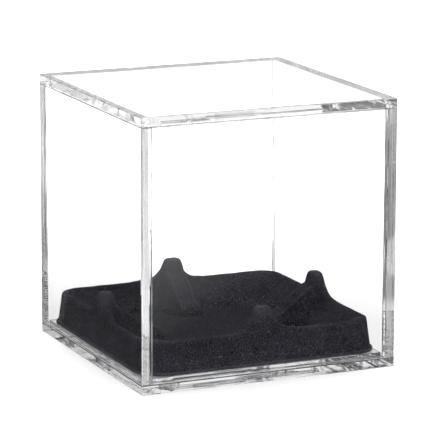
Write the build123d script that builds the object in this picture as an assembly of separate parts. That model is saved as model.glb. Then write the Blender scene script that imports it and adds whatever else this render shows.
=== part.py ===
from build123d import *

import math
import os

# Acrylic display cube for a ball: a lift-off five-sided cover, a base and a loose flocked tray.
# Frame: X along the front face, Y from the front to the back, +Z up.
# Origin: centre of the base plate's underside.

# ---- driving dimensions, mm ----------------------------------------------------------------
CUBE = 80.0                 # outer width, depth and height
SHEET = 3.0                 # acrylic sheet of the cover and the base plate
EDGE_BREAK = 0.3            # chamfer on the outer polished edges

LOCATOR_THICKNESS = 1.2     # raised plate that centres the cover
LOCATOR_PLAY = 0.3          # room between the locating plate and the cover, each side

TRAY_SHEET = 1.0            # formed plastic sheet of the tray
TRAY_FLANGE_HALF = 36.5     # half width of the flange at the foot
WALL_FOOT_HALF = 36.0       # half width of the outer wall above the flange
WALL_CORNER_RADIUS = 6.5
RIM_HALF = 35.1             # half width at the rim
RIM_RISE = 9.7              # rim above the foot
RIM_WIDTH = 1.4             # flat of the rim
RECESS_CORNER_RADIUS = 7.0
FLOOR_HALF = 25.4           # half width of the recess floor
FLOOR_RISE = 2.0            # recess floor above the foot

PRONG_REACH = 32.5          # prong axis from the middle of the tray
PRONG_RISE = 16.8           # prong tip above the foot
PRONG_TIP_RADIUS = 2.3
PRONG_TIP_ROUNDING = 0.8    # height of the domed tip
PRONG_WAIST_RADIUS = 3.3
PRONG_WAIST_RISE = 13.1
PRONG_ROOT_RADIUS = 4.4
PRONG_ROOT_RISE = 9.0

FLARE_FOOT = (9.5, 0.0)     # flank of the web along the rim: from the prong's axis, above the rim
FLARE_MIDDLE = (5.3, 1.5)
FLARE_TOP = (2.3, 4.2)
FLARE_DEPTH = 2.2           # how far the web stands in from the rim at the prong
FLARE_STEEPNESS = 3.0       # height for each unit of the web's inner face

RAMP_HALF = 3.0             # half width of the stepped ramp inside each prong
RAMP_STEPS = [              # ramp outline: distance from the middle, height above the foot
    (18.8, 1.0),
    (19.8, 4.7),
    (20.9, 5.4),
    (23.2, 6.4),
    (23.9, 7.8),
    (26.3, 8.9),
    (27.0, 10.4),
    (29.2, 11.6),
    (31.0, 13.0),
]

# ---- derived levels ------------------------------------------------------------------------
HALF = CUBE / 2
INNER_HALF = HALF - SHEET
COVER_FOOT = SHEET
TOP_UNDERSIDE = CUBE - SHEET
LOCATOR_HALF = INNER_HALF - LOCATOR_PLAY
TRAY_FOOT = SHEET + LOCATOR_THICKNESS
RIM_Z = TRAY_FOOT + RIM_RISE
FLOOR_Z = TRAY_FOOT + FLOOR_RISE
TIP_Z = TRAY_FOOT + PRONG_RISE
WALL_SLOPE = (WALL_FOOT_HALF - RIM_HALF) / (RIM_RISE - TRAY_SHEET)
BELOW = 1.0                 # how far a cutting solid runs past the face that it opens
WALL_SPREAD = 0.6           # sideways shift of the recess wall's underside for each unit of sheet
RECESS_SLOPE = (RIM_HALF - RIM_WIDTH + BELOW - FLOOR_HALF) / (RIM_RISE + BELOW - FLOOR_RISE)


def block(x_range, y_range, z_range):
    """A box between two limits on each axis."""
    size = [high - low for low, high in (x_range, y_range, z_range)]
    middle = [(low + high) / 2 for low, high in (x_range, y_range, z_range)]
    return Pos(*middle) * Box(*size)


def outer_edges(solid, half=HALF, level=None):
    """The vertical edges on the outer corners and, with a level, the outline at that height."""
    tolerance = 0.01
    chosen = []
    for edge in solid.edges():
        centre = edge.center()
        on_corner = abs(abs(centre.X) - half) < tolerance and abs(abs(centre.Y) - half) < tolerance
        on_outline = abs(abs(centre.X) - half) < tolerance or abs(abs(centre.Y) - half) < tolerance
        on_level = level is not None and abs(centre.Z - level) < tolerance
        if on_corner or (on_outline and on_level):
            chosen.append(edge)
    return chosen


# ---- acrylic pieces ------------------------------------------------------------------------
def make_base_plate():
    plate = block((-HALF, HALF), (-HALF, HALF), (0, SHEET))
    return chamfer(outer_edges(plate, level=0), EDGE_BREAK)


def make_locating_plate():
    half = LOCATOR_HALF
    plate = block((-half, half), (-half, half), (SHEET, SHEET + LOCATOR_THICKNESS))
    return chamfer(outer_edges(plate, half, level=SHEET + LOCATOR_THICKNESS), EDGE_BREAK)


def make_side_panel(side):
    """Left (-1) or right (+1) wall, as deep as the cube, its ends showing front and back."""
    x_range = sorted((side * INNER_HALF, side * HALF))
    panel = block(x_range, (-HALF, HALF), (COVER_FOOT, TOP_UNDERSIDE))
    return chamfer(outer_edges(panel), EDGE_BREAK)


def make_face_panel(side):
    """Front (-1) or back (+1) wall, held between the two side walls."""
    y_range = sorted((side * INNER_HALF, side * HALF))
    return block((-INNER_HALF, INNER_HALF), y_range, (COVER_FOOT, TOP_UNDERSIDE))


def make_top_panel():
    panel = block((-HALF, HALF), (-HALF, HALF), (TOP_UNDERSIDE, CUBE))
    return chamfer(outer_edges(panel, level=CUBE), EDGE_BREAK)


# ---- tray ----------------------------------------------------------------------------------
def tapered_square(low, high):
    """A solid between two rounded squares, each given as height, half width and corner radius."""
    sections = []
    for height, half, radius in (low, high):
        sections.append(Pos(0, 0, height) * RectangleRounded(2 * half, 2 * half, radius))
    return loft(sections)


def wall_half(height, inset):
    """Half width of the drafted outer wall at a height."""
    return WALL_FOOT_HALF - inset - WALL_SLOPE * (height - TRAY_FOOT - TRAY_SHEET)


def outer_block(top, inset):
    """The drafted outside of the tray, solid from below the foot to a height."""
    foot = TRAY_FOOT - (BELOW if inset else 0)
    radius = WALL_CORNER_RADIUS - inset
    return tapered_square((foot, wall_half(foot, inset), radius), (top, wall_half(top, inset), radius))


def prong_cone(inset):
    """The round prong on its own axis, from below the floor to its domed tip."""
    foot = TRAY_FOOT - (BELOW if inset else 0)
    tip = TIP_Z - inset
    shoulder = tip - PRONG_TIP_ROUNDING
    waist = TRAY_FOOT + PRONG_WAIST_RISE - inset
    root = TRAY_FOOT + PRONG_ROOT_RISE - inset
    tip_radius = PRONG_TIP_RADIUS - inset
    dome_radius = (tip_radius**2 + PRONG_TIP_ROUNDING**2) / (2 * PRONG_TIP_ROUNDING)
    dome_centre = tip - dome_radius
    dome_middle = (tip_radius / 2, dome_centre + math.sqrt(dome_radius**2 - (tip_radius / 2) ** 2))
    with BuildPart() as cone:
        with BuildSketch(Plane.XZ):
            with BuildLine():
                Polyline(
                    (0, tip),
                    (0, foot),
                    (PRONG_ROOT_RADIUS - inset, foot),
                    (PRONG_ROOT_RADIUS - inset, root),
                    (PRONG_WAIST_RADIUS - inset, waist),
                    (tip_radius, shoulder),
                )
                ThreePointArc((tip_radius, shoulder), dome_middle, (0, tip))
            make_face()
        revolve(axis=Axis.Z)
    return Pos(PRONG_REACH, 0, 0) * cone.part


def prong_ramp(inset):
    """The stepped ramp that runs from the prong down to the recess floor."""
    half = RAMP_HALF - inset
    outline = [(reach + inset, TRAY_FOOT + rise - inset) for reach, rise in RAMP_STEPS]
    top = outline[-1][1]
    foot = outline[0][1] - BELOW
    corners = outline + [(HALF, top), (HALF, foot), (outline[0][0], foot)]
    section = Plane.XZ.offset(-half) * make_face(Polyline(*corners, close=True))
    return extrude(section, amount=2 * half)


def prong_flare(inset):
    """The web that spreads from the prong into the rim and the recess wall, with hollow flanks."""
    rim = RIM_Z - inset
    foot = TRAY_FOOT - (BELOW if inset else 0)
    low, middle, high = [(x - inset, rim + z) for x, z in (FLARE_FOOT, FLARE_MIDDLE, FLARE_TOP)]
    with BuildPart() as flank:
        with BuildSketch(Plane.YZ):
            with BuildLine():
                Polyline((-low[0], low[1]), (-low[0], foot), (low[0], foot), low)
                ThreePointArc(low, middle, high)
                Line(high, (-high[0], high[1]))
                ThreePointArc((-high[0], high[1]), (-middle[0], middle[1]), (-low[0], low[1]))
            make_face()
        extrude(amount=HALF)

    def plan(height):
        wall = recess_half(rim, inset) + (height - rim) / FLARE_STEEPNESS
        crest = wall - FLARE_DEPTH
        one_side = [(HALF, low[0]), (wall, low[0]), (crest, high[0])]
        other_side = [(x, -y) for x, y in reversed(one_side)]
        return Pos(0, 0, height) * make_face(Polyline(*one_side, *other_side, close=True))

    return flank.part & loft([plan(foot), plan(high[1])], ruled=True)


def recess_half(height, inset):
    """Half width of the sloping recess wall at a height."""
    return FLOOR_HALF + inset * WALL_SPREAD + RECESS_SLOPE * (height - FLOOR_Z + inset)


def tray_form(inset):
    """The formed shape, solid: at no inset its outside, at the sheet's thickness its underside."""
    floor = FLOOR_Z - inset
    rim = RIM_Z - inset
    opening = rim + BELOW
    recess = tapered_square(
        (floor, recess_half(floor, inset), RECESS_CORNER_RADIUS),
        (opening, recess_half(opening, inset), RECESS_CORNER_RADIUS),
    )
    body = outer_block(rim, inset) - recess
    envelope = outer_block(TIP_Z + BELOW, inset)
    prong = (prong_cone(inset) + prong_ramp(inset) + prong_flare(inset)) & envelope
    for quarter in range(4):
        body += Rot(0, 0, 90 * quarter) * prong
    return body


def make_insert_tray():
    flange_half = TRAY_FLANGE_HALF
    flange = Pos(0, 0, TRAY_FOOT) * extrude(
        RectangleRounded(2 * flange_half, 2 * flange_half, WALL_CORNER_RADIUS), TRAY_SHEET
    )
    return (tray_form(0) + flange) - tray_form(TRAY_SHEET)


# ---- files ---------------------------------------------------------------------------------
PIECES = {
    "base_plate": make_base_plate(),
    "locating_plate": make_locating_plate(),
    "insert_tray": make_insert_tray(),
    "front_panel": make_face_panel(-1),
    "back_panel": make_face_panel(1),
    "left_panel": make_side_panel(-1),
    "right_panel": make_side_panel(1),
    "top_panel": make_top_panel(),
}

os.makedirs("parts", exist_ok=True)
for name, piece in PIECES.items():
    export_step(piece, f"parts/{name}.step")
    print(name, "solids", len(piece.solids()), "volume", round(piece.volume, 2))
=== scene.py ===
import math

import bmesh
import bpy
import numpy as np
from mathutils import Matrix, Vector


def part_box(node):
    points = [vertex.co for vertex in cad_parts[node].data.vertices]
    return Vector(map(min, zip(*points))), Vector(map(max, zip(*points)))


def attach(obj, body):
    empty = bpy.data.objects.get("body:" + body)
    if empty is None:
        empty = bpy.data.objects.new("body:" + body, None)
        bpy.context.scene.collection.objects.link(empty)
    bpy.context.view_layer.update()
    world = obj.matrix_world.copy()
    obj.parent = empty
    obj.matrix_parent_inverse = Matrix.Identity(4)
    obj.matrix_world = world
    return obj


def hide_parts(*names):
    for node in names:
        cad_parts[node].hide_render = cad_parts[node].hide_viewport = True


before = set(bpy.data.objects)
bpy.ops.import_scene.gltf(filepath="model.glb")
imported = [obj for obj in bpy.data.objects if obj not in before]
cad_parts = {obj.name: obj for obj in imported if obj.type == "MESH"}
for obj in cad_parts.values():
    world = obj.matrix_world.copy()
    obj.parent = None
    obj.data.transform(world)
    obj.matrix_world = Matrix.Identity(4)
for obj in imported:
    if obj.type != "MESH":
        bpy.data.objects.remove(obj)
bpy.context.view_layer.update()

MM = 0.001

# ---- sizes of the object, mm ------------------------------------------------------------------
HALF = 40.0
AIR_GAP = 0.02              # each acrylic piece stands this far inside its place, so a film of air is left
OUTER_BREAK = 0.3           # polished break on the outer edges of the cube
INNER_BREAK = 0.18          # break on the edges that meet another piece
RIM_BREAK = 0.3             # break on the upper edge of the base plate, under the cover's edge
SQUARE_ENOUGH = 1.2         # faces that meet at more than this angle, in radians, are still to be broken
SQUARE_ON = 0.9             # a face looks along an axis when its normal has more than this share of it
SLANTED = 0.97              # and it is slanted when no axis has more than this share

TRAY_FOOT = 4.2
TRAY_SHEET = 1.0
FLANGE_HALF = 36.5
WALL_FOOT_HALF = 36.0
WALL_SLOPE = 0.103          # the outer wall leans in by this much for each unit of height
WALL_RADIUS = 6.5
RIM_Z = 13.9
RIM_INNER_HALF = 33.7
FLOOR_Z = 6.2
FLOOR_HALF = 25.4
RECESS_SLOPE = 1.07         # half width gained for each unit of height
RECESS_RADIUS = 7.0
FLOOR_FILLET = 1.0          # fillet round the recess floor
RIM_FILLET = 0.6            # rounding at the inner edge of the rim
EDGE_ROUND = 0.5            # rounding over the top edge of the outer wall
EDGE_RADIUS = WALL_RADIUS - EDGE_ROUND      # corner radius at the inside of that rounding
FINE_LIMIT = 17.0           # inside this half width the recess floor is flat and needs few points
SIDE_STEPS, CORNER_STEPS = 150, 22          # points along each side and round each corner of a ring
NO_SURFACE = -50            # a height far below everything, where a part has no surface

PRONG_REACH = 32.7
PRONG_SLANT = 1.3           # the prong is this much steeper on its inner side
PRONG_FILLET = 0.8          # fillet where a prong and its ramp run into the tray
PRONG_PROFILE = [           # distance from the prong's axis, height
    (0, 21.0), (1.6, 20.95), (2.3, 20.7), (2.8, 20.0),
    (3.6, 17.3), (4.3, 13.2), (5.3, 7.0), (6.6, 0.0),
]
FLARE_PROFILE = [           # distance from the prong's axis along the rim, height of the web above the rim
    (1.8, 5.9), (2.3, 5.1), (3.4, 3.6), (4.7, 2.1),
    (5.6, 1.35), (6.9, 0.7), (8.2, 0.25), (9.8, 0), (12, -1),
]
FLARE_REACH = 9.8           # the web fades into the rim at this distance from the prong
FLARE_DEPTH = 2.0           # how far the web stands in from the rim at the prong
FLARE_STEEPNESS = 2.6       # height for each unit of the web's inner face
WEB_END = 11                # nothing of the web is left beyond this distance
WEB_FILLET = 1.2            # rounding over the web's upper edge
ROOT_FILLET = 1.0           # fillet between the prong and its web
RAMP_HALF = 2.7
RAMP_FLANK = 2.0            # steepness of the ramp's sides
RAMP_START = 17.2           # the ramp begins at this distance from the middle
RAMP_LINE = [(17.0, 4.5), (18.2, 7.2), (19.5, 9.2), (23.4, 11.3), (25.2, 12.9), (27.9, 15.0), (31.1, 17.9)]
RAMP_STEPS = [
    (17.0, 4.5), (18.4, 7.6), (19.8, 9.4), (20.9, 9.8), (23.0, 10.7), (23.8, 12.0),
    (26.2, 13.1), (27.0, 14.4), (29.2, 15.8), (31.0, 17.2),
]
STEP_SHARE = 0.6            # how much of the steps is left under the flock
NOSE_RADIUS = 5.0           # the steps are bowed in plan by about this radius
LOCATOR_HALF = 36.7
SHEET = 3.0                 # thickness of the panels and the base plate
INNER = HALF - SHEET        # half width inside the cover

# ---- sizes of the materials, metres; noise is counted in features for each metre --------------
ACRYLIC_IOR = 1.49
EDGE_TINT = (0.975, 0.98, 0.985)
FACET_TILT = 0.022          # how far the small facets of an edge lean
LINE_STRETCH = 0.0025       # polish lines are this much finer across the edge than along it
PAINTED_REFLECTION_FROM = 0.019            # metres right of the middle to which the front's level edges keep few marks; beyond it more marks paint in a darker reflection
MARK_GREY = (0.12, 0.125, 0.15)
VOID_FROM = 0.71            # noise level above which a weld has a void
POLISH_LINES = 1500
HAIR_LINES = 4200
FACETS = 260
CEMENT_WAVES = 420
CEMENT_PATCHES = 75
SEAM_PATCHES = 130
VOIDS = 160
VOID_RIPPLES = 700
FACE_WAVES = 45

PILE_DARK = (0.006, 0.006, 0.0082)
PILE_PALE = (0.036, 0.036, 0.0475)
# pale pile of the painted highlight on prong tips and crests, partly real wear on the crests
HIGHLIGHT_AND_RUB_PILE = (0.085, 0.085, 0.098)
# colour of the painted shade on the recess floor
RECESS_FLOOR_SHADE = (0.006, 0.006, 0.0085)
FIBRE_END = (0.12, 0.12, 0.13)
FIBRES = 2400
FIBRE_ENDS = 3400
PILE_PATCHES = 110
LOW_SPECK_HEIGHTS = (0.0045, 0.0105)             # the extra pale specks thin out between these heights
SHADED_FLOOR_HEIGHTS = (0.0066, 0.0085)            # the painted shade on the recess floor ends between these
TIP_HIGHLIGHT_HEIGHTS = (0.0155, 0.0205)              # and a painted highlight pales the prongs between these
RECESS_REACH = (0.031, 0.033)               # the recess ends this far from the middle


# ---- shader nodes -----------------------------------------------------------------------------
def new_material(name):
    material = bpy.data.materials.new(name)
    material.use_nodes = True
    tree = material.node_tree
    tree.nodes.clear()
    output = tree.nodes.new("ShaderNodeOutputMaterial")
    return material, tree, output


def add(tree, kind, **values):
    """A node with some inputs set by name and some properties set by name."""
    node = tree.nodes.new(kind)
    for key, value in values.items():
        socket = node.inputs.get(key.replace("_", " "))
        if socket is not None:
            socket.default_value = value
        else:
            setattr(node, key, value)
    return node


def join(tree, source, target):
    tree.links.new(source, target)


def remap(tree, value, low, high, to_low, to_high):
    node = add(tree, "ShaderNodeMapRange")
    node.inputs["From Min"].default_value = low
    node.inputs["From Max"].default_value = high
    node.inputs["To Min"].default_value = to_low
    node.inputs["To Max"].default_value = to_high
    join(tree, value, node.inputs["Value"])
    return node.outputs["Result"]


def noise(tree, coordinates, scale, detail=3.0, roughness=0.6, stretch=(1, 1, 1)):
    """Noise whose scale counts features in each metre; stretch slows it along an axis."""
    mapping = add(tree, "ShaderNodeMapping")
    mapping.inputs["Scale"].default_value = stretch
    join(tree, coordinates, mapping.inputs["Vector"])
    texture = add(tree, "ShaderNodeTexNoise")
    texture.inputs["Scale"].default_value = scale
    texture.inputs["Detail"].default_value = detail
    texture.inputs["Roughness"].default_value = roughness
    join(tree, mapping.outputs["Vector"], texture.inputs["Vector"])
    return texture.outputs["Fac"]


def math_node(tree, operation, first, second=None):
    node = add(tree, "ShaderNodeMath", operation=operation)
    for socket, value in zip(node.inputs, (first, second)):
        if isinstance(value, (int, float)):
            socket.default_value = value
        elif value is not None:
            join(tree, value, socket)
    return node.outputs["Value"]


def components(tree, vector):
    """The x, y and z of a vector."""
    split = add(tree, "ShaderNodeSeparateXYZ")
    join(tree, vector, split.inputs[0])
    return split.outputs["X"], split.outputs["Y"], split.outputs["Z"]


def vector_node(tree, operation, *values):
    """A vector maths node. Its values are sockets or plain triples."""
    node = add(tree, "ShaderNodeVectorMath", operation=operation)
    for socket, value in zip(node.inputs, values):
        if isinstance(value, tuple):
            socket.default_value = value
        else:
            join(tree, value, socket)
    return node


def highest(tree, *values):
    result = values[0]
    for value in values[1:]:
        result = math_node(tree, "MAXIMUM", result, value)
    return result


def bump(tree, height, strength, distance, normal=None):
    node = add(tree, "ShaderNodeBump", Strength=strength, Distance=distance)
    join(tree, height, node.inputs["Height"])
    if normal is not None:
        join(tree, normal, node.inputs["Normal"])
    return node.outputs["Normal"]


def blend_colour(tree, factor, first, colour):
    node = add(tree, "ShaderNodeMix", data_type="RGBA")
    join(tree, factor, node.inputs[0])
    join(tree, first, node.inputs[6])
    node.inputs[7].default_value = (*colour, 1)
    return node.outputs[2]


def mix_shaders(tree, factor, first, second):
    node = add(tree, "ShaderNodeMixShader")
    join(tree, factor, node.inputs[0])
    join(tree, first, node.inputs[1])
    join(tree, second, node.inputs[2])
    return node.outputs[0]


def clear_to_lamps(tree, shader):
    """Lamps and bounced light pass straight through, so that what the sheet covers is lit evenly."""
    path = add(tree, "ShaderNodeLightPath")
    passing = highest(tree, path.outputs["Is Shadow Ray"], path.outputs["Is Diffuse Ray"])
    clear = add(tree, "ShaderNodeBsdfTransparent")
    return mix_shaders(tree, passing, shader, clear.outputs[0])


def glass(tree, tint):
    shader = add(tree, "ShaderNodeBsdfPrincipled")
    shader.inputs["Base Color"].default_value = (*tint, 1)
    shader.inputs["Transmission Weight"].default_value = 1.0
    shader.inputs["IOR"].default_value = ACRYLIC_IOR
    shader.inputs["Roughness"].default_value = 0.0
    return shader


def acrylic_face():
    """The large polished faces: clear, with a very slight wave in what they mirror."""
    material, tree, output = new_material("acrylic_face")
    place = add(tree, "ShaderNodeTexCoord").outputs["Object"]
    shader = glass(tree, (1, 1, 1))
    wave = noise(tree, place, FACE_WAVES, detail=2.0)
    join(tree, bump(tree, wave, 0.05, 0.0004), shader.inputs["Normal"])
    join(tree, clear_to_lamps(tree, shader.outputs[0]), output.inputs["Surface"])
    return material


def blotched_glass(tree, marks, mark_colour):
    """Clear acrylic that turns grey and cloudy where marks is 1."""
    shader = glass(tree, EDGE_TINT)
    tint = add(tree, "ShaderNodeMix", data_type="RGBA")
    join(tree, marks, tint.inputs[0])
    tint.inputs[6].default_value = (*EDGE_TINT, 1)
    tint.inputs[7].default_value = (*mark_colour, 1)
    join(tree, tint.outputs[2], shader.inputs["Base Color"])
    join(tree, remap(tree, marks, 0.0, 1.0, 1.0, 0.0), shader.inputs["Transmission Weight"])
    return shader


def edge_cells(tree, place, along):
    """Boxes drawn out along the edge. Each has random values, given as its colour."""
    mapping = add(tree, "ShaderNodeMapping")
    mapping.inputs["Scale"].default_value = [0.22 if value else 1.6 for value in along]
    join(tree, place, mapping.inputs["Vector"])
    cells = add(tree, "ShaderNodeTexVoronoi", distance="CHEBYCHEV", Scale=FACETS, Randomness=0.9)
    join(tree, mapping.outputs["Vector"], cells.inputs["Vector"])
    return cells.outputs["Color"]


def edge_normal(tree, cells, fine, groove, patches):
    """The relief of an edge: fine grooves, swirls of cement, and a small lean to each cell."""
    grooved = bump(tree, fine, groove, 0.00004)
    swirled = bump(tree, patches, 0.9, 0.0006, grooved)
    lean, back = (FACET_TILT,) * 3, (-FACET_TILT / 2,) * 3
    tilt = vector_node(tree, "MULTIPLY_ADD", cells, lean, back)
    tilted = vector_node(tree, "ADD", swirled, tilt.outputs["Vector"])
    return vector_node(tree, "NORMALIZE", tilted.outputs["Vector"]).outputs["Vector"]


def acrylic_edge(name, along, line_from, patch_from, hair, groove, least_marks):
    """Sawn and polished edges: lines along the edge, square breaks across it and swirls where cement has run.
    along is 1 on the axes that the edges run along and 0 on the others. Lines and swirls begin at the noise
    levels line_from and patch_from. hair and groove are the strength of the fine lines and of their relief.
    The last argument is the share of lines and swirls left near the front left corner; further right and back
    they grow to full strength, real marks that also serve as a painted reflection of darker surroundings."""
    material, tree, output = new_material(name)
    place = add(tree, "ShaderNodeTexCoord").outputs["Object"]
    stretch = [LINE_STRETCH if value else 1 for value in along]
    broad = noise(tree, place, POLISH_LINES, detail=1.0, roughness=0.5, stretch=stretch)
    fine = noise(tree, place, HAIR_LINES, detail=2.0, roughness=0.6, stretch=stretch)
    cells = edge_cells(tree, place, along)
    chance = add(tree, "ShaderNodeSeparateColor")
    join(tree, cells, chance.inputs["Color"])
    x, y, _ = components(tree, place)
    # lines and swirls thicken right of the middle and towards the back: real marks, gathered there as a
    # painted reflection of darker surroundings
    further = highest(tree, math_node(tree, "SUBTRACT", x, PAINTED_REFLECTION_FROM), y)
    marks_with_painted_reflection = remap(tree, further, -0.002, 0.001, least_marks, 1.0)

    streaks = remap(tree, broad, line_from, line_from + 0.05, 0.0, 1.0)
    in_cell = remap(tree, chance.outputs["Red"], 0.25, 0.75, 0.15, 0.75)
    streaks = math_node(tree, "MULTIPLY", streaks, in_cell)
    streaks = math_node(tree, "MULTIPLY", streaks, marks_with_painted_reflection)
    hairs = remap(tree, fine, 0.56, 0.62, 0.0, hair)
    squares = remap(tree, chance.outputs["Green"], 0.86, 0.87, 0.0, 0.35)
    patch_wave = noise(tree, place, CEMENT_WAVES, detail=4.0, roughness=0.65)
    patch_noise = noise(tree, place, CEMENT_PATCHES, detail=1.5)
    patch_mask = remap(tree, patch_noise, patch_from, patch_from + 0.03, 0.0, 1.0)
    patch_mask = math_node(tree, "MULTIPLY", patch_mask, marks_with_painted_reflection)
    patches = math_node(tree, "MULTIPLY", patch_wave, patch_mask)
    swirls = math_node(tree, "MULTIPLY", remap(tree, patch_wave, 0.50, 0.56, 0.0, 0.8), patch_mask)

    shader = blotched_glass(tree, highest(tree, streaks, hairs, swirls, squares), MARK_GREY)
    join(tree, edge_normal(tree, cells, fine, groove, patches), shader.inputs["Normal"])
    join(tree, clear_to_lamps(tree, shader.outputs[0]), output.inputs["Surface"])
    return material


def seam_line(name, least, most, colour):
    """The thin break along a joint: cement in it shows as a grey line of uneven strength; the open joint,
    where there is air, gets a near-black line of painted shade.
    """
    material, tree, output = new_material(name)
    place = add(tree, "ShaderNodeTexCoord").outputs["Object"]
    marks = remap(tree, noise(tree, place, SEAM_PATCHES, detail=3.0), 0.40, 0.60, least, most)
    shader = blotched_glass(tree, marks, colour)
    join(tree, clear_to_lamps(tree, shader.outputs[0]), output.inputs["Surface"])
    return material


def weld():
    """A solvent weld between two pieces: clear, but for small voids that mirror like an air film."""
    material, tree, output = new_material("acrylic_weld")
    place = add(tree, "ShaderNodeTexCoord").outputs["Object"]
    void = glass(tree, EDGE_TINT)
    ripple = noise(tree, place, VOID_RIPPLES, detail=3.0)
    join(tree, bump(tree, ripple, 0.6, 0.0003), void.inputs["Normal"])
    clear = add(tree, "ShaderNodeBsdfTransparent")
    spots = noise(tree, place, VOIDS, detail=3.0, roughness=0.7)
    voids = remap(tree, spots, VOID_FROM, VOID_FROM + 0.02, 0.0, 1.0)
    joined = mix_shaders(tree, voids, clear.outputs[0], void.outputs[0])
    join(tree, clear_to_lamps(tree, joined), output.inputs["Surface"])
    return material


def flock():
    """Black flock on formed sheet: short fibre, paler where the pile stands on end or catches lint; a painted
    highlight pales the prong tips and crests, and painted shade darkens the recess floor.
    """
    material, tree, output = new_material("flock")
    place = add(tree, "ShaderNodeTexCoord").outputs["Object"]
    shader = add(tree, "ShaderNodeBsdfPrincipled")
    shader.inputs["Roughness"].default_value = 0.95
    shader.inputs["Specular IOR Level"].default_value = 0.06
    shader.inputs["Sheen Weight"].default_value = 0.02
    shader.inputs["Sheen Roughness"].default_value = 0.4
    shader.inputs["Sheen Tint"].default_value = (0.75, 0.78, 0.9, 1)
    fibre = noise(tree, place, FIBRES, detail=4.0, roughness=0.8)
    patches = noise(tree, place, PILE_PATCHES, detail=3.0)
    shade = add(tree, "ShaderNodeValToRGB")
    ramp = shade.color_ramp
    ramp.elements[0].position = 0.40
    ramp.elements[0].color = (*PILE_DARK, 1)
    ramp.elements[1].position = 0.62
    ramp.elements[1].color = (*PILE_PALE, 1)
    mixed = math_node(tree, "ADD", fibre, remap(tree, patches, 0.3, 0.7, -0.04, 0.04))
    join(tree, mixed, shade.inputs["Fac"])
    # pale fibre ends, more of them low on the outer wall
    height = components(tree, place)[2]
    low_down = remap(tree, height, *LOW_SPECK_HEIGHTS, 0.06, 0.0)
    grain = math_node(tree, "ADD", noise(tree, place, FIBRE_ENDS, detail=2.0, roughness=0.5), low_down)
    specks = remap(tree, grain, 0.63, 0.71, 0.0, 0.85)
    # painted highlight on the prong tips, and along the rim's crests a painted highlight with some real wear
    tips = remap(tree, height, *TIP_HIGHLIGHT_HEIGHTS, 0.0, 0.35)
    crests = add(tree, "ShaderNodeNewGeometry").outputs["Pointiness"]
    highlight_and_rub = highest(tree, tips, remap(tree, crests, 0.515, 0.56, 0.0, 0.55))
    highlight_and_rub = math_node(tree, "MULTIPLY", highlight_and_rub, remap(tree, patches, 0.35, 0.6, 0.5, 1.0))
    pile_and_painted_light = blend_colour(tree, highlight_and_rub, shade.outputs["Color"], HIGHLIGHT_AND_RUB_PILE)
    # painted shade darkens the recess floor
    floor_shade = remap(tree, height, *SHADED_FLOOR_HEIGHTS, 0.75, 0.0)
    from_middle = vector_node(tree, "LENGTH", place).outputs["Value"]
    floor_shade = math_node(tree, "MULTIPLY", floor_shade, remap(tree, from_middle, *RECESS_REACH, 1.0, 0.0))
    pile_and_painted_light = blend_colour(tree, floor_shade, pile_and_painted_light, RECESS_FLOOR_SHADE)
    join(tree, blend_colour(tree, specks, pile_and_painted_light, FIBRE_END), shader.inputs["Base Color"])
    join(tree, bump(tree, fibre, 0.6, 0.00012), shader.inputs["Normal"])
    join(tree, shader.outputs[0], output.inputs["Surface"])
    return material


FACE = acrylic_face()
EDGE_UP = acrylic_edge(
    "acrylic_edge_upright", (0, 0, 1), line_from=0.58, patch_from=0.66, hair=0.4, groove=0.8, least_marks=1.0
)
EDGE_LEVEL = acrylic_edge(
    "acrylic_edge_level", (1, 1, 0), line_from=0.64, patch_from=0.61, hair=0.0, groove=0.12, least_marks=0.2
)
WELD = weld()
OUTER_LINE = seam_line("acrylic_outer_break", 0.05, 0.45, (0.2, 0.2, 0.22))
CEMENT_LINE = seam_line("acrylic_cement_line", 0.55, 1.0, (0.12, 0.12, 0.13))
# near-black painted shade in the open joint under the cover
OPEN_JOINT_SHADE = seam_line("acrylic_open_joint_painted_shade", 0.92, 1.0, (0.012, 0.012, 0.014))
FLOCK = flock()
SHEET_MATERIALS = [FACE, EDGE_UP, EDGE_LEVEL, WELD, OUTER_LINE, CEMENT_LINE, OPEN_JOINT_SHADE]
FACES, UPRIGHT_EDGES, LEVEL_EDGES, WELDS, OUTER_LINES, CEMENT_LINES, OPEN_LINES = range(len(SHEET_MATERIALS))


# ---- meshes -----------------------------------------------------------------------------------
def new_object(name, mesh, body, node, materials):
    piece = bpy.data.objects.new(name, mesh)
    bpy.context.scene.collection.objects.link(piece)
    for material in materials:
        mesh.materials.append(material)
    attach(piece, body)
    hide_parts(node)


def near_outside(point, axis, reach):
    """True where a point lies within reach of the cube's outside along an axis, all in mm."""
    limits = (0, 2 * HALF) if axis == 2 else (-HALF, HALF)
    return any(abs(point[axis] - limit) < reach for limit in limits)


def on_base_rim(point, body):
    """True for a point on the upper outer edge of the base plate, in mm."""
    outside = near_outside(point, 0, 2 * AIR_GAP) or near_outside(point, 1, 2 * AIR_GAP)
    return body == "base" and outside and abs(point.z - SHEET) < 2 * AIR_GAP


def any_place(point, body):
    return True


def is_break(face):
    """True for the slanted faces along a sheet's edges."""
    return max(abs(value) for value in face.normal) < SLANTED


def is_outer(face):
    """True for a face that lies along an edge or a corner of the whole cube."""
    centre = face.calc_center_median()
    return sum(near_outside(centre, axis, OUTER_BREAK) for axis in range(3)) >= 2


def middle_of(edge):
    return (edge.verts[0].co + edge.verts[1].co) / 2


def sheet_block(low, high):
    """A plain block between two corners."""
    shape = bmesh.new()
    bmesh.ops.create_cube(shape, size=1.0)
    for vertex in shape.verts:
        for axis in range(3):
            vertex.co[axis] = low[axis] + (vertex.co[axis] + 0.5) * (high[axis] - low[axis])
    return shape


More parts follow.
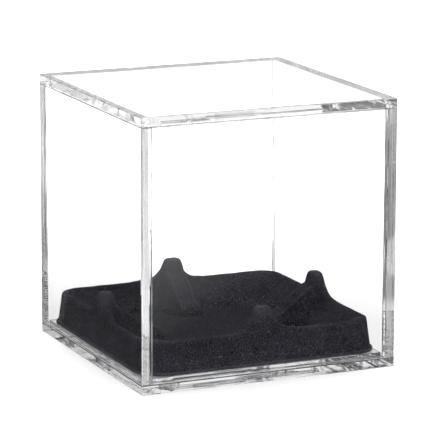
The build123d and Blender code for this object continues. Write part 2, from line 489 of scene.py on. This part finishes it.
def break_edges(shape, body):
    """Break the edges on the cube's outside first, then the base's rim, then all that are still square."""
    outer = []
    for edge in shape.edges:
        if sum(near_outside(middle_of(edge), axis, 2 * AIR_GAP) for axis in range(3)) >= 2:
            outer.append(edge)
    bmesh.ops.bevel(shape, geom=outer, offset=OUTER_BREAK, segments=2, profile=0.5, affect="EDGES")
    for width, belongs in ((RIM_BREAK, on_base_rim), (INNER_BREAK, any_place)):
        shape.normal_update()
        square = [edge for edge in shape.edges if edge.calc_face_angle(0) > SQUARE_ENOUGH]
        chosen = [edge for edge in square if belongs(middle_of(edge), body)]
        if chosen:
            bmesh.ops.bevel(shape, geom=chosen, offset=width, segments=1, profile=0.5, affect="EDGES")
    shape.normal_update()


def part_faces(shape, cuts):
    for axis, place in cuts:
        normal = [float(axis == index) for index in range(3)]
        point = [place * value for value in normal]
        everything = shape.verts[:] + shape.edges[:] + shape.faces[:]
        bmesh.ops.bisect_plane(shape, geom=everything, plane_co=point, plane_no=normal, dist=1e-5)


def face_kind(face, thin, body, welds):
    """Which of the sheet materials a face has. thin is the axis across the sheet."""
    centre = face.calc_center_median()
    at_open_joint = abs(centre.z - SHEET) < RIM_BREAK
    if is_break(face):
        # the base's upper rim, where the cover stands on it: painted shade
        if at_open_joint and body == "base":
            return OPEN_LINES
        if is_outer(face) and not at_open_joint:
            return OUTER_LINES
        return CEMENT_LINES
    if any(test(centre, face.normal) for test in welds):
        return WELDS
    if abs(face.normal[thin]) > SQUARE_ON:
        return FACES
    if thin == 2 or abs(face.normal.z) > SQUARE_ON:
        return LEVEL_EDGES
    return UPRIGHT_EDGES


def acrylic_piece(name, node, body, cuts, welds):
    """A cut and polished sheet. cuts are (axis, place) planes that part its faces, so that the faces that
    meet another piece can be told apart. welds are tests of a face's centre and normal, in mm."""
    low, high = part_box(node)
    low = low / MM + Vector((AIR_GAP, AIR_GAP, AIR_GAP))
    high = high / MM - Vector((AIR_GAP, AIR_GAP, AIR_GAP))
    size = high - low
    thin = min(range(3), key=lambda axis: size[axis])
    shape = sheet_block(low, high)
    break_edges(shape, body)
    part_faces(shape, cuts)
    for face in shape.faces:
        face.material_index = face_kind(face, thin, body, welds)
    bmesh.ops.scale(shape, vec=(MM, MM, MM), verts=shape.verts)
    mesh = bpy.data.meshes.new(name)
    shape.to_mesh(mesh)
    shape.free()
    new_object(name, mesh, body, node, SHEET_MATERIALS)


def smooth_max(first, second, width):
    """The higher of two surfaces, with a fillet where they cross."""
    blend = np.maximum(width - np.abs(first - second), 0) / width
    return np.maximum(first, second) + blend * blend * width / 4


def smooth_min(first, second, width):
    return -smooth_max(-first, -second, width)


def profile(points, value):
    where = [point[0] for point in points]
    height = [point[1] for point in points]
    return np.interp(value, where, height)


def soft_profile(points, value, reach):
    """A profile with its corners rounded over a short reach."""
    total = 0
    for step, weight in ((-1, 0.15), (-0.5, 0.2), (0, 0.3), (0.5, 0.2), (1, 0.15)):
        total = total + weight * profile(points, value + step * reach)
    return total


def square_distance(x, y, radius):
    """Half width of the rounded square that passes through a point."""
    x, y = np.abs(x), np.abs(y)
    a, b = x + radius, y + radius
    corner = ((a + b) - np.sqrt(np.maximum(2 * radius**2 - (a - b) ** 2, 0))) / 2
    in_corner = (x > corner - radius) & (y > corner - radius)
    return np.where(in_corner, corner, np.maximum(x, y))


def prong_surface(x, y):
    """Height of one prong with its web and its ramp, for the prong on +X."""
    across = np.abs(y)
    along = x - PRONG_REACH
    along = np.where(along < 0, along * PRONG_SLANT, along)
    cone = soft_profile(PRONG_PROFILE, np.hypot(along, y), 0.25)
    web_top = RIM_Z + soft_profile(FLARE_PROFILE, across, 0.5)
    share = np.clip((FLARE_REACH - across) / (FLARE_REACH - 2.0), 0, 1)
    depth = FLARE_DEPTH * share * share * (3 - 2 * share)
    web_side = RIM_Z + (x - RIM_INNER_HALF + depth) * FLARE_STEEPNESS
    web = np.where(across < WEB_END, smooth_min(web_top, web_side, WEB_FILLET), NO_SURFACE)
    bowed = x + across**2 / (2 * NOSE_RADIUS)
    ramp = STEP_SHARE * soft_profile(RAMP_STEPS, bowed, 0.35) + (1 - STEP_SHARE) * profile(RAMP_LINE, x)
    ramp = ramp - RAMP_FLANK * np.maximum(across - RAMP_HALF, 0)
    ramp = np.where(x > RAMP_START, ramp, NO_SURFACE)
    surface = smooth_max(cone, web, ROOT_FILLET)
    return smooth_max(surface, ramp, PRONG_FILLET)


def tray_surface(x, y):
    """Height of the tray's upper face at any point inside its outer wall."""
    s = square_distance(x, y, RECESS_RADIUS)
    wall = FLOOR_Z + (s - FLOOR_HALF) / RECESS_SLOPE
    dish = smooth_max(wall, np.full_like(wall, FLOOR_Z), FLOOR_FILLET)
    surface = smooth_min(dish, np.full_like(wall, RIM_Z), RIM_FILLET)
    for turn in range(4):
        angle = math.pi / 2 * turn
        along = x * math.cos(angle) + y * math.sin(angle)
        across = -x * math.sin(angle) + y * math.cos(angle)
        surface = smooth_max(surface, prong_surface(along, across), PRONG_FILLET)
    return surface


def wall_half(z):
    """Half width of the outer wall at a height."""
    return WALL_FOOT_HALF - WALL_SLOPE * (z - TRAY_FOOT - TRAY_SHEET)


def ring_directions():
    """Where each point of a ring lies: its place along the straight sides and round the corners."""
    places = []
    for turn in range(4):
        for step in range(SIDE_STEPS):
            t = 2 * step / SIDE_STEPS - 1
            places.append((turn, "side", math.copysign(abs(t) ** 1.25, t)))
        for step in range(CORNER_STEPS):
            places.append((turn, "corner", math.pi / 2 * step / CORNER_STEPS))
    return places


def ring_points(half, radius, places):
    """x and y of a rounded square; half may differ from point to point."""
    half = np.broadcast_to(half, (len(places),))
    radius = np.broadcast_to(radius, (len(places),))
    x = np.zeros(len(places))
    y = np.zeros(len(places))
    for index, (turn, kind, value) in enumerate(places):
        h, r = half[index], radius[index]
        if kind == "side":
            along, across = h, value * (h - r)
        else:
            along = h - r + r * math.cos(value)
            across = h - r + r * math.sin(value)
        c, s = math.cos(math.pi / 2 * turn), math.sin(math.pi / 2 * turn)
        x[index] = along * c - across * s
        y[index] = along * s + across * c
    return x, y


def ring_radius(half):
    """Corner radius of a ring inside the recess."""
    return np.minimum(RECESS_RADIUS, 0.3 * np.asarray(half, float))


def plain_ring(half, radius, z, places):
    """A ring of points at a set height; half, radius and z may differ from point to point."""
    x, y = ring_points(half, radius, places)
    return np.stack([x, y, np.broadcast_to(z, (len(places),))], 1)


def surface_ring(half, radius, places):
    """A ring of points on the tray's upper face."""
    x, y = ring_points(half, radius, places)
    return np.stack([x, y, tray_surface(x, y)], 1)


def wall_top(places):
    """The height of the outer wall, point by point."""
    top = np.full(len(places), RIM_Z)
    for _ in range(4):
        x, y = ring_points(wall_half(top) - EDGE_ROUND, WALL_RADIUS - EDGE_ROUND, places)
        top = tray_surface(x, y)
    return top


def upper_rings(top, places):
    """From the foot flange up the outer wall, over its rounded top and in across the recess."""
    foot, flange_top = TRAY_FOOT + AIR_GAP, TRAY_FOOT + TRAY_SHEET
    flange = [
        (FLANGE_HALF - 0.15, foot),
        (FLANGE_HALF, foot + 0.15),
        (FLANGE_HALF, flange_top - 0.25),
        (FLANGE_HALF - 0.1, flange_top),
        (WALL_FOOT_HALF + 0.12, flange_top + 0.05),
    ]
    rings = [plain_ring(half, WALL_RADIUS, z, places) for half, z in flange]
    wall_start = flange_top + 0.35
    for share in np.linspace(0, 1, 14):
        z = wall_start + share * (top - EDGE_ROUND - wall_start)
        rings.append(plain_ring(wall_half(z), WALL_RADIUS, z, places))
    edge = wall_half(top)
    for angle in (25, 50, 72, 90):
        turned = math.radians(angle)
        inset = EDGE_ROUND * (1 - math.cos(turned))
        z = top - EDGE_ROUND * (1 - math.sin(turned))
        rings.append(plain_ring(edge - inset, WALL_RADIUS - inset, z, places))
    start = edge - EDGE_ROUND
    for share in np.linspace(0, 1, 70)[1:]:
        half = start + share * (FINE_LIMIT - start)
        radius = EDGE_RADIUS + share * (ring_radius(FINE_LIMIT) - EDGE_RADIUS)
        rings.append(surface_ring(half, radius, places))
    for half in (15.5, 13, 10, 7, 4, 1.5):
        rings.append(surface_ring(half, ring_radius(half), places))
    return rings


def under_rings(top, places):
    """The underside, one sheet inside the upper face, from the foot in to the middle."""
    foot = TRAY_FOOT + AIR_GAP
    inner_radius = WALL_RADIUS - TRAY_SHEET
    rings = [plain_ring(wall_half(foot) - TRAY_SHEET, inner_radius, foot, places)]
    for share in (0.35, 0.7, 1.0):
        z = foot + share * (top - TRAY_SHEET - 0.2 - foot)
        rings.append(plain_ring(wall_half(z) - TRAY_SHEET, inner_radius, z, places))
    start = wall_half(top) - TRAY_SHEET - 0.4
    start_radius = EDGE_RADIUS - TRAY_SHEET
    for share in np.linspace(0, 1, 26):
        half = start + share * (FINE_LIMIT - start)
        radius = start_radius + share * (ring_radius(FINE_LIMIT) - start_radius)
        ring = surface_ring(half, radius, places)
        ring[:, 2] = np.maximum(ring[:, 2] - TRAY_SHEET - 0.15, foot + 0.1)
        rings.append(ring)
    for half in (12, 6, 1.5):
        rings.append(plain_ring(half, ring_radius(half), FLOOR_Z - TRAY_SHEET, places))
    return rings


def skin_faces(ring_count, count):
    """Faces between neighbouring rings of count points, and a fan to the middle point at each end."""
    faces = []
    for ring in range(ring_count - 1):
        a, b = ring * count, (ring + 1) * count
        for index in range(count):
            following = (index + 1) % count
            faces.append((a + index, b + index, b + following, a + following))
    centre_top = ring_count * count
    centre_under = centre_top + 1
    last = (ring_count - 1) * count
    for index in range(count):
        following = (index + 1) % count
        faces.append((centre_top, index, following))
        faces.append((centre_under, last + following, last + index))
    return faces


def tray_mesh():
    """The tray as one closed skin, in rings from the middle of the recess out, down and back underneath."""
    places = ring_directions()
    top = wall_top(places)
    rings = upper_rings(top, places)[::-1] + under_rings(top, places)
    middles = [[0, 0, FLOOR_Z], [0, 0, FLOOR_Z - TRAY_SHEET]]
    points = np.concatenate([*rings, middles])
    # the slight unevenness of a thin formed sheet
    x, y = points[:, 0], points[:, 1]
    wave = 0.05 * np.sin(x * 0.31 + 1.3) * np.sin(y * 0.27 + 0.4) + 0.03 * np.sin(x * 0.83 + y * 0.71)
    lift = np.clip((points[:, 2] - TRAY_FOOT - 1.5) / 4, 0, 1)
    points[:, 2] = points[:, 2] + wave * lift
    mesh = bpy.data.meshes.new("insert_tray_flocked")
    mesh.from_pydata([tuple(point * MM) for point in points], [], skin_faces(len(rings), len(places)))
    mesh.update()
    mesh.shade_smooth()
    return mesh


def faces_up(centre, normal):
    return normal.z > SQUARE_ON


def faces_down(centre, normal):
    return normal.z < -SQUARE_ON


def sides_meet_face_panels(centre, normal):
    return abs(normal.x) > SQUARE_ON and abs(centre.x) < HALF - SHEET / 2 and abs(centre.y) > INNER


def face_panel_ends(centre, normal):
    return abs(normal.x) > SQUARE_ON


def top_meets_walls(centre, normal):
    return faces_down(centre, normal) and max(abs(centre.x), abs(centre.y)) > INNER


def base_meets_locator(centre, normal):
    return faces_up(centre, normal) and max(abs(centre.x), abs(centre.y)) < LOCATOR_HALF


side_cuts = [(1, -INNER), (1, INNER)]
ring_cuts = [(axis, place) for axis in (0, 1) for place in (-INNER, INNER)]
locator_cuts = [(axis, place) for axis in (0, 1) for place in (-LOCATOR_HALF, LOCATOR_HALF)]

acrylic_piece("base_sheet", "base_plate", "base", locator_cuts, [base_meets_locator])
acrylic_piece("locating_sheet", "locating_plate", "base", [], [faces_down])
for end in ("front", "back"):
    acrylic_piece(f"cover_{end}", f"{end}_panel", "cover", [], [face_panel_ends, faces_up])
for side in ("left", "right"):
    acrylic_piece(f"cover_{side}", f"{side}_panel", "cover", side_cuts, [sides_meet_face_panels, faces_up])
acrylic_piece("cover_top_sheet", "top_panel", "cover", ring_cuts, [top_meets_walls])
new_object("insert_tray_flocked", tray_mesh(), "tray", "insert_tray", [FLOCK])


# ---- studio -----------------------------------------------------------------------------------
def add_plane(name, half, material):
    """A level square at height 0."""
    corners = [(-half, -half, 0), (half, -half, 0), (half, half, 0), (-half, half, 0)]
    mesh = bpy.data.meshes.new(name)
    mesh.from_pydata(corners, [], [(0, 1, 2, 3)])
    mesh.materials.append(material)
    plane = bpy.data.objects.new(name, mesh)
    bpy.context.scene.collection.objects.link(plane)


SEEN_WHITE = 2.2            # radiance of the surroundings seen directly or straight through the sheets
LIT_FROM_AROUND = 1.0       # radiance of the surroundings as a soft light
LIT_FROM_LEFT = 0.15        # and less of it from the left
FLAG_DARK = 0.012           # what one mirror image finds on the floor close to the cube
FLOOR_ONCE = 0.95           # and further off
STRIP_WHITE = 1.2           # what light carried along a sheet finds on the floor: the pale strip behind,
FAINT_STRIP = 0.8           # a fainter strip that leans the other way,
BEHIND_GREY = 0.18          # the floor either side of them,
CLOSE_GREY = 0.86           # the floor right beside the base,
FRONT_WHITE = 1.2           # and the floor in front
SKY_GREY, SKY_WHITE = 0.11, 1.2             # what mirrors find round about: behind at the left, and elsewhere
OVERHEAD_SHARE = 0.25       # how much of that is left straight above
FLAG_EDGE = (0.10, 0.165)   # where the dark floor turns pale in front at the left, metres on -(x + y)
FLAG_REACH = (0.18, 0.28)   # and where it does so all round, metres from the middle
STRIP_RUN = (0.04, 0.44)    # the strips behind are measured between these two places on y
STRIP_LEAN = 0.1795         # how far they lean sideways over that run
STRIP_HALF, STRIP_HALF_FAR = 0.018, 0.13    # half width of the brighter strip, close by and far off
STRIP_WIDENS = (0.322, 0.36)                # it widens between these two places on y
FAINT_HALF = (0.012, 0.02)  # half width over which the fainter strip ends
CLOSE_BY = (0.058, 0.07)    # the floor beside the base ends between these two places on y
IN_FRONT = (-0.12, -0.06)   # and the floor in front between these
SEEN_LIFT = 1.4             # glow that keeps the floor white where it is seen directly
LIFT_REACH = (0.06, 0.25)   # it begins and is full at these distances from the middle
BEHIND_LEFT = (-0.32, 0.0)  # directions on x between which mirrors find grey to white
OVERHEAD = (0.40, 0.75)     # directions on z between which that dims
FROM_LEFT = (-0.9, -0.1)    # directions on x between which the soft light rises
PANEL_MIDDLE = (HALF - SHEET / 2) * MM


def choose(tree, switch, when_off, when_on):
    """One of two numbers, by a switch of 0 or 1."""
    node = add(tree, "ShaderNodeMix", data_type="FLOAT")
    join(tree, switch, node.inputs[0])
    for socket, value in ((node.inputs[2], when_off), (node.inputs[3], when_on)):
        if isinstance(value, (int, float)):
            socket.default_value = value
        else:
            join(tree, value, socket)
    return node.outputs[0]


def path_switches(tree):
    """Switches of 0 or 1: mirrored at least once, carried along inside a sheet, and soft light."""
    path = add(tree, "ShaderNodeLightPath")
    mirrored = math_node(tree, "GREATER_THAN", path.outputs["Glossy Depth"], 0.5)
    carried = math_node(tree, "GREATER_THAN", path.outputs["Glossy Depth"], 1.5)
    return mirrored, carried, path.outputs["Is Diffuse Ray"]


def seen_in_one_mirror(tree, x, y, distance):
    """Dark floor beside the cube. The flags leave it pale in front at the left, and far off all round."""
    past_flag = math_node(tree, "MULTIPLY", math_node(tree, "ADD", x, y), -1.0)
    in_front = remap(tree, past_flag, *FLAG_EDGE, FLAG_DARK, FLOOR_ONCE)
    far_off = remap(tree, distance, *FLAG_REACH, FLAG_DARK, FLOOR_ONCE)
    return highest(tree, in_front, far_off)


def seen_along_a_sheet(tree, x, y):
    """Grey floor behind with two pale strips, grey right beside the base, and white in front."""
    # the brighter strip leans to the right and widens far off
    strip_middle = remap(tree, y, *STRIP_RUN, -PANEL_MIDDLE, STRIP_LEAN - PANEL_MIDDLE)
    beside = math_node(tree, "SUBTRACT", x, strip_middle)
    strip_half = remap(tree, y, *STRIP_WIDENS, STRIP_HALF, STRIP_HALF_FAR)
    off_strip = math_node(tree, "SUBTRACT", math_node(tree, "ABSOLUTE", beside), strip_half)
    bright = remap(tree, off_strip, 0.0, 0.01, STRIP_WHITE, BEHIND_GREY)
    # and a fainter one leans to the left
    faint_middle = remap(tree, y, *STRIP_RUN, PANEL_MIDDLE, STRIP_LEAN + PANEL_MIDDLE)
    off_faint = math_node(tree, "ABSOLUTE", math_node(tree, "ADD", x, faint_middle))
    behind = highest(tree, bright, remap(tree, off_faint, *FAINT_HALF, FAINT_STRIP, 0.0))
    back_half = choose(tree, remap(tree, y, *CLOSE_BY, 0.0, 1.0), CLOSE_GREY, behind)
    return choose(tree, remap(tree, y, *IN_FRONT, 1.0, 0.0), back_half, FRONT_WHITE)


def floor_material():
    """Pale floor. In the mirrors of the acrylic it is that of a product set with flags."""
    material, tree, output = new_material("studio_floor")
    place = add(tree, "ShaderNodeNewGeometry").outputs["Position"]
    x, y, _ = components(tree, place)
    distance = vector_node(tree, "LENGTH", place).outputs["Value"]
    mirrored, carried, soft = path_switches(tree)
    once = seen_in_one_mirror(tree, x, y, distance)
    inside = seen_along_a_sheet(tree, x, y)
    glow = add(tree, "ShaderNodeEmission")
    join(tree, choose(tree, carried, once, inside), glow.inputs["Strength"])
    matt = add(tree, "ShaderNodeBsdfDiffuse", Color=(0.93, 0.93, 0.93, 1))
    lift = add(tree, "ShaderNodeEmission")
    lifted = remap(tree, distance, *LIFT_REACH, 0.0, SEEN_LIFT)
    join(tree, choose(tree, soft, lifted, 0.0), lift.inputs["Strength"])
    lit = add(tree, "ShaderNodeAddShader")
    join(tree, matt.outputs[0], lit.inputs[0])
    join(tree, lift.outputs[0], lit.inputs[1])
    join(tree, mix_shaders(tree, mirrored, lit.outputs[0], glow.outputs[0]), output.inputs["Surface"])
    return material


def make_world():
    """White all round. In the mirrors it is a softer studio: grey behind at the left, and dim above."""
    world = bpy.data.worlds.new("studio")
    bpy.context.scene.world = world
    world.use_nodes = True
    tree = world.node_tree
    tree.nodes.clear()
    output = tree.nodes.new("ShaderNodeOutputWorld")
    background = tree.nodes.new("ShaderNodeBackground")
    x, _, z = components(tree, add(tree, "ShaderNodeTexCoord").outputs["Generated"])
    level = remap(tree, x, *BEHIND_LEFT, SKY_GREY, SKY_WHITE)
    seen = math_node(tree, "MULTIPLY", level, remap(tree, z, *OVERHEAD, 1.0, OVERHEAD_SHARE))
    mirrored, _, soft = path_switches(tree)
    soft_light = remap(tree, x, *FROM_LEFT, LIT_FROM_LEFT, LIT_FROM_AROUND)
    direct = choose(tree, soft, SEEN_WHITE, soft_light)
    join(tree, choose(tree, mirrored, direct, seen), background.inputs["Strength"])
    join(tree, background.outputs[0], output.inputs["Surface"])


def add_softbox(name, location, target, size, power):
    light = bpy.data.lights.new(name, "AREA")
    light.shape = "SQUARE"
    light.size = size
    light.energy = power
    lamp = bpy.data.objects.new(name, light)
    bpy.context.scene.collection.objects.link(lamp)
    lamp.location = location
    aim = Vector(target) - Vector(location)
    lamp.rotation_euler = aim.to_track_quat("-Z", "Y").to_euler()
    lamp.visible_camera = False
    lamp.visible_glossy = False
    lamp.visible_transmission = False


add_plane("studio_floor", 6.0, floor_material())
make_world()
add_softbox("softbox_top", (-0.25, -0.15, 0.75), (0, 0, 0), 0.7, 4)
add_softbox("softbox_back", (0.35, 0.55, 0.55), (0, 0, 0.02), 0.5, 2)

# ---- camera -----------------------------------------------------------------------------------
CAMERA_AT = (-0.3510, -0.7884, 0.2300)
AZIMUTH, ELEVATION, ROLL = math.radians(-24.19), math.radians(12.53), math.radians(0.16)
LENS, SENSOR = 239.1, 36.0  # mm

camera_data = bpy.data.cameras.new("camera")
camera_data.lens = LENS
camera_data.sensor_width = SENSOR
camera_data.clip_start = 0.01
camera = bpy.data.objects.new("camera", camera_data)
bpy.context.scene.collection.objects.link(camera)
level = math.cos(ELEVATION)
back = Vector((math.sin(AZIMUTH) * level, -math.cos(AZIMUTH) * level, math.sin(ELEVATION)))
right = Vector((math.cos(AZIMUTH), math.sin(AZIMUTH), 0))
up = back.cross(right)
turn = Matrix((right, up, back)).transposed() @ Matrix.Rotation(ROLL, 3, "Z")
camera.matrix_world = Matrix.Translation(CAMERA_AT) @ turn.to_4x4()
bpy.context.scene.camera = camera

scene = bpy.context.scene
scene.view_settings.view_transform = "Standard"
scene.cycles.max_bounces = 40
scene.cycles.transmission_bounces = 36
scene.cycles.glossy_bounces = 24
scene.cycles.transparent_max_bounces = 32
scene.cycles.use_denoising = True
